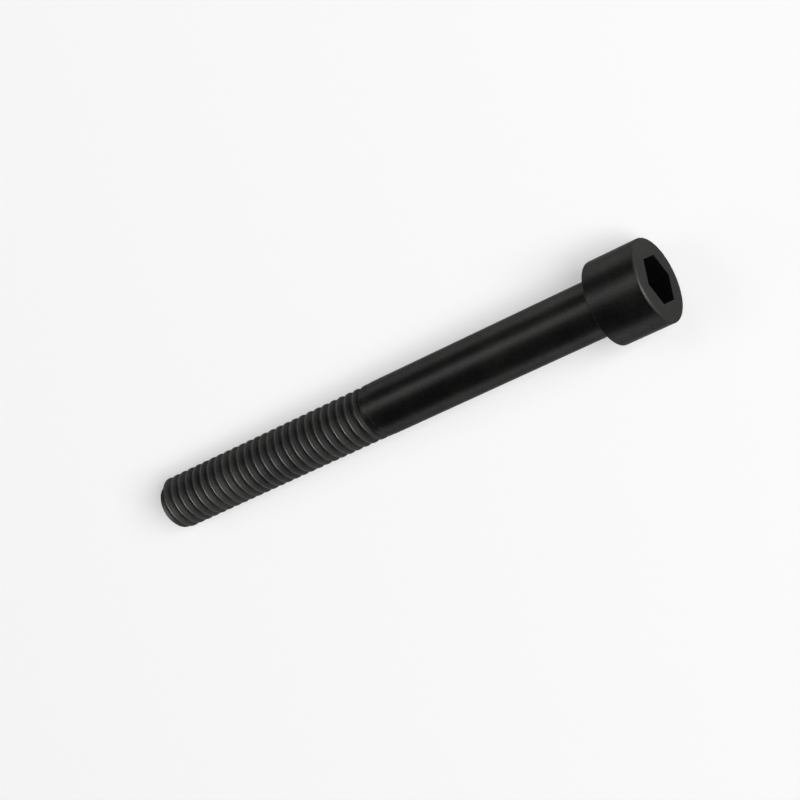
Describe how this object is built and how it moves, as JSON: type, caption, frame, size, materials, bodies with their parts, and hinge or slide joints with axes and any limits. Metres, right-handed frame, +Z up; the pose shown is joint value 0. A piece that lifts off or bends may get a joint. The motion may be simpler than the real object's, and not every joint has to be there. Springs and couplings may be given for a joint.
{
  "type": "hex socket cap screw",
  "caption": "Long black socket head cap screw with a plain cylindrical head, hex socket, smooth shank and threaded end, lying on its side.",
  "frame": {"origin": "the surface that the screw lies on, below the middle of its bounding box", "axes": "+X along the screw towards its head, +Z up; the axis slopes up to the head by 1.55 degrees, because the head is wider than the thread"},
  "size_m": [0.0844, 0.0118, 0.0121],
  "materials": {
    "black_oxide_steel": "thin black oxide with a trace of oil, satin"
  },
  "bodies": {
    "root": {"cap_screw": "black_oxide_steel"}
  },
  "joints": []
}
